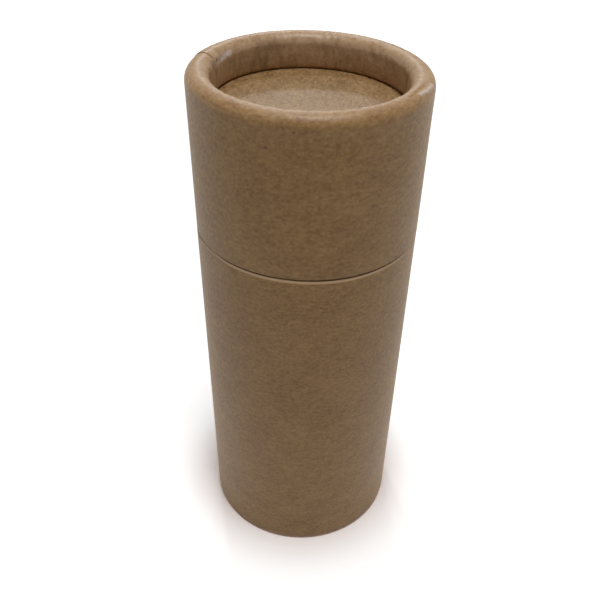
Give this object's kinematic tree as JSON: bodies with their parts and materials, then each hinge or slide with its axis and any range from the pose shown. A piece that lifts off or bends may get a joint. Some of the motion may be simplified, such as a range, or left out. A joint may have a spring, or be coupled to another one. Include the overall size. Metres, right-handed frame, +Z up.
{
  "type": "cardboard push-up tube",
  "caption": "Round kraft cardboard push-up tube with a lift-off cap, rolled rims and a paper disc that pushes the contents up.",
  "frame": {"origin": "centre of the ring that the tube stands on, at its lowest face", "axes": "+Z up along the tube's axis, from the bottom rim to the cap; X and Y are equal on a round tube"},
  "size_m": [0.045, 0.045, 0.1108],
  "materials": {
    "kraft_wrap": "matte, faint sheen",
    "neck_board": "matte",
    "pressed_board": "matte"
  },
  "bodies": {
    "base": {"body_tube": "kraft_wrap", "inner_tube": "neck_board"},
    "pusher": {"push_disc": "pressed_board"},
    "cap": {"cap_tube": "kraft_wrap", "cap_disc": "pressed_board"}
  },
  "joints": [
    {"name": "cap_lift", "type": "slide", "parent": "base", "child": "cap", "axis": [0, 0, 1], "range_m": [0, 0.03]},
    {"name": "push_up", "type": "slide", "parent": "base", "child": "pusher", "axis": [0, 0, 1], "range_m": [0, 0.0853]}
  ]
}
